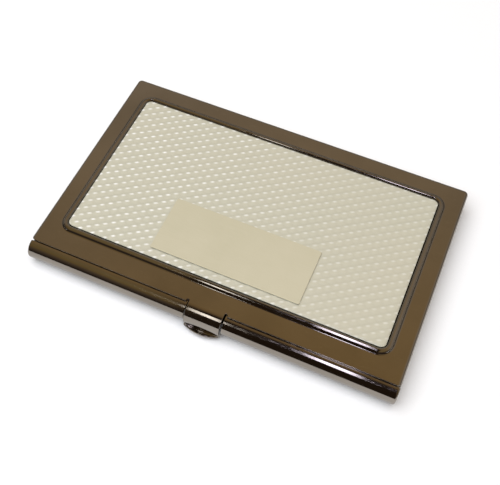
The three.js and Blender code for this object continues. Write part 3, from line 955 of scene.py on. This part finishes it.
def inlay_plate():
    """The embossed plate, with a small shoulder round it and plain sides and bottom."""
    surface = Surface()
    top = [surface.add(column) for column in embossed_top()]
    for a, b in zip(top, top[1:]):
        for j in range(PLATE_ROWS):
            surface.faces.append((a[j], b[j], b[j + 1], a[j + 1]))
    loop = [c[0] for c in top] + top[-1][1:] + [c[-1] for c in top[-2::-1]] + top[0][-2:0:-1]
    inner_x = PLATE_HIGH.x - PLATE_RIM
    inner_y = (PLATE_HIGH.y - PLATE_LOW.y) / 2 - PLATE_RIM
    middle_y = (PLATE_HIGH.y + PLATE_LOW.y) / 2
    low = PLATE_HIGH.z - EMBOSS_DEPTH
    ring = loop
    for out, z in ((0.05, low - 0.012), (PLATE_RIM, low - 0.07), (PLATE_RIM, PLATE_LOW.z)):
        row = []
        for index in loop:
            x, y, _ = surface.points[index]
            x += out * edge_share(x / inner_x)
            y += out * edge_share((y - middle_y) / inner_y)
            row.append((x, y, z))
        new = surface.add(row)
        surface.bridge(ring, new)
        ring = new
    surface.faces.append(tuple(reversed(ring)))
    plate = make("inlay", surface.points, surface.faces)
    shade_by_angle(plate)
    return plate


def edge_share(value):
    """1 or -1 at an edge and 0 away from it, so that sides move out and nothing shifts along them."""
    return math.copysign(max(0.0, (abs(value) - 0.9) / 0.1), value)


def shade_by_angle(obj, degrees=50):
    """Smooth shading that leaves edges sharper than that angle as they are."""
    bm = bmesh.new()
    bm.from_mesh(obj.data)
    for face in bm.faces:
        face.smooth = True
    for edge in bm.edges:
        edge.smooth = len(edge.link_faces) == 2 and edge.calc_face_angle(0) < math.radians(degrees)
    bm.to_mesh(obj.data)
    bm.free()


def label_plate():
    """A plain thin plate with a rounded top edge."""
    x, y, z = ((LABEL_LOW[axis], LABEL_HIGH[axis]) for axis in range(3))
    plate = slab("label", x, y, z, LABEL_CORNER, LABEL_EDGE)
    shade(plate)
    return plate


# ---- assembly -----------------------------------------------------------------------------------
gunmetal = gunmetal_material()
steel = steel_material()
film = film_material()

place(lid_shell(), "lid", "lid_shell", gunmetal)
place(base_tray(), "base", "base_tray", gunmetal)
place(base_hinge_leaf(), "base", "base_hinge_leaf", gunmetal)
place(lid_hinge_leaf(), "lid", "lid_hinge_leaf", gunmetal)
place(hinge_pin(), "base", "hinge_pin", steel)
place(snap_spring(), "base", "snap_spring", steel)
place(snap_rivet("rivet_left", -1), "base", "snap_rivet_left", steel)
place(snap_rivet("rivet_right", 1), "base", "snap_rivet_right", steel)
place(inlay_plate(), "lid", "inlay_plate", champagne_material())
place(label_plate(), "lid", "nameplate", label_material())
for node in ("inlay_adhesive", "nameplate_adhesive"):
    film_piece = frame["nodes"][node]
    film_piece.data.materials.clear()
    film_piece.data.materials.append(film)

# ---- floor, light and camera --------------------------------------------------------------------


def stage_floor():
    """A large flat sweep under the case."""
    size = 3000
    corners = [(-size, -size, 0), (size, -size, 0), (size, size, 0), (-size, size, 0)]
    floor = make("floor", corners, [(0, 1, 2, 3)])
    floor.data.materials.append(floor_material())


def area_light(name, direction, distance, size, power, colour, at=(0, 0, 0)):
    """A rectangular lamp in that direction from a place on the case, facing it, with its longer
    side in a plane across the case's width; millimetres."""
    lamp = bpy.data.lights.new(name, "AREA")
    lamp.shape = "RECTANGLE"
    lamp.size, lamp.size_y = size[0] * MM, size[1] * MM
    lamp.energy = power
    lamp.color = colour
    obj = bpy.data.objects.new(name, lamp)
    toward = Vector(direction).normalized()
    along = Vector((0, toward.z, -toward.y)).normalized()
    turn = Matrix((along.cross(toward), along, toward)).transposed()
    obj.matrix_world = Matrix.Translation((Vector(at) + toward * distance) * MM) @ turn.to_4x4()
    bpy.context.scene.collection.objects.link(obj)
    return obj


def room():
    """A warm, dim room: greyer towards the horizon behind, browner overhead and in front, with the
    dark shape of someone standing in front of the case."""
    world = bpy.data.worlds.new("room")
    bpy.context.scene.world = world
    world.use_nodes = True
    tree = world.node_tree

    def product(first, second):
        node = tree.nodes.new("ShaderNodeMath")
        node.operation = "MULTIPLY"
        tree.links.new(first, node.inputs[0])
        tree.links.new(second, node.inputs[1])
        return node.outputs["Value"]

    def ramp(stops):
        """Colours by height, from (height, colour) pairs."""
        node = tree.nodes.new("ShaderNodeValToRGB")
        tree.links.new(height, node.inputs["Fac"])
        elements = node.color_ramp.elements
        elements[0].position, elements[0].color = stops[0][0], (*stops[0][1], 1)
        elements[1].position, elements[1].color = stops[-1][0], (*stops[-1][1], 1)
        for position, colour in stops[1:-1]:
            elements.new(position).color = (*colour, 1)
        return node.outputs["Color"]

    def share(value, start, end):
        """0 at start and 1 at end, clamped outside."""
        node = tree.nodes.new("ShaderNodeMapRange")
        node.inputs["From Min"].default_value = start
        node.inputs["From Max"].default_value = end
        tree.links.new(value, node.inputs["Value"])
        return node.outputs["Result"]

    def mix(factor, first, second):
        node = tree.nodes.new("ShaderNodeMix")
        node.data_type = "RGBA"
        for value, socket in ((factor, "Factor"), (first, "A"), (second, "B")):
            if isinstance(value, tuple):
                node.inputs[socket].default_value = (*value, 1)
            else:
                tree.links.new(value, node.inputs[socket])
        return node.outputs["Result"]

    coordinates = tree.nodes.new("ShaderNodeTexCoord")
    split = tree.nodes.new("ShaderNodeSeparateXYZ")
    tree.links.new(coordinates.outputs["Generated"], split.inputs["Vector"])
    height = split.outputs["Z"]
    behind = ramp([
        (0.0, (0.20, 0.17, 0.14)),
        (0.30, (0.30, 0.26, 0.21)),
        (0.45, (0.38, 0.33, 0.27)),
        (0.70, (0.47, 0.39, 0.30)),
        (0.82, (0.46, 0.345, 0.21)),
        (0.92, (0.43, 0.29, 0.13)),
        (1.0, (0.30, 0.20, 0.10)),
    ])
    ahead = ramp([
        (0.0, (0.03, 0.022, 0.018)),
        (0.30, (0.09, 0.065, 0.05)),
        (0.57, (0.19, 0.14, 0.09)),
        (0.75, (0.33, 0.23, 0.09)),
        (0.90, (0.36, 0.27, 0.13)),
        (1.0, (0.30, 0.20, 0.10)),
    ])
    x, y = split.outputs["X"], split.outputs["Y"]
    colour = mix(share(y, 0.1, -0.2), behind, ahead)
    # the dark shape: an upright band in front, as wide as the two shares across it leave
    across = product(share(x, -0.26, -0.24), share(x, 0.25, 0.15))
    colour = mix(product(across, share(y, 0.10, -0.15)), colour, (0.035, 0.022, 0.014))
    tree.links.new(colour, tree.nodes["Background"].inputs["Color"])


def camera():
    """Looks down at the case from above its front right corner, with a slight roll."""
    view = bpy.data.cameras.new("camera")
    view.lens = 54.53
    view.sensor_width = 36
    obj = bpy.data.objects.new("camera", view)
    place_at = Vector((37.7, -91.9, 162.4)) * MM
    target = Vector((1.35, -4.5, 3.0)) * MM
    roll = math.radians(1.08)
    turn = (target - place_at).to_track_quat("-Z", "Y").to_matrix().to_4x4()
    obj.matrix_world = Matrix.Translation(place_at) @ turn @ Matrix.Rotation(roll, 4, "Z")
    view.clip_start = 0.005
    view.clip_end = 20
    bpy.context.scene.collection.objects.link(obj)
    bpy.context.scene.camera = obj


stage_floor()
room()

# a large soft lamp lights the scene, and two narrow far ones are seen only as highlights on metal
key = area_light("key", (-0.2, -0.2, 1), 900, (1200, 1200), 13.4, (0.87, 0.92, 1))
key.visible_glossy = False
FAR = 2000
ROLL_RIGHT = (31.8, -27, 5)
ROLL_MIDDLE = (0, -28, 5)
strips_of_light = [
    area_light("strip_right", (-0.037, -0.34, 0.94), FAR, (140, 760), 2.2, (0.80, 0.78, 1), ROLL_RIGHT),
    area_light("strip_middle", (-0.215, -0.46, 0.86), FAR, (100, 640), 0.72, (1, 0.98, 0.96), ROLL_MIDDLE),
]
for strip in strips_of_light:
    strip.visible_diffuse = False
bpy.context.scene.view_settings.view_transform = "Standard"
camera()
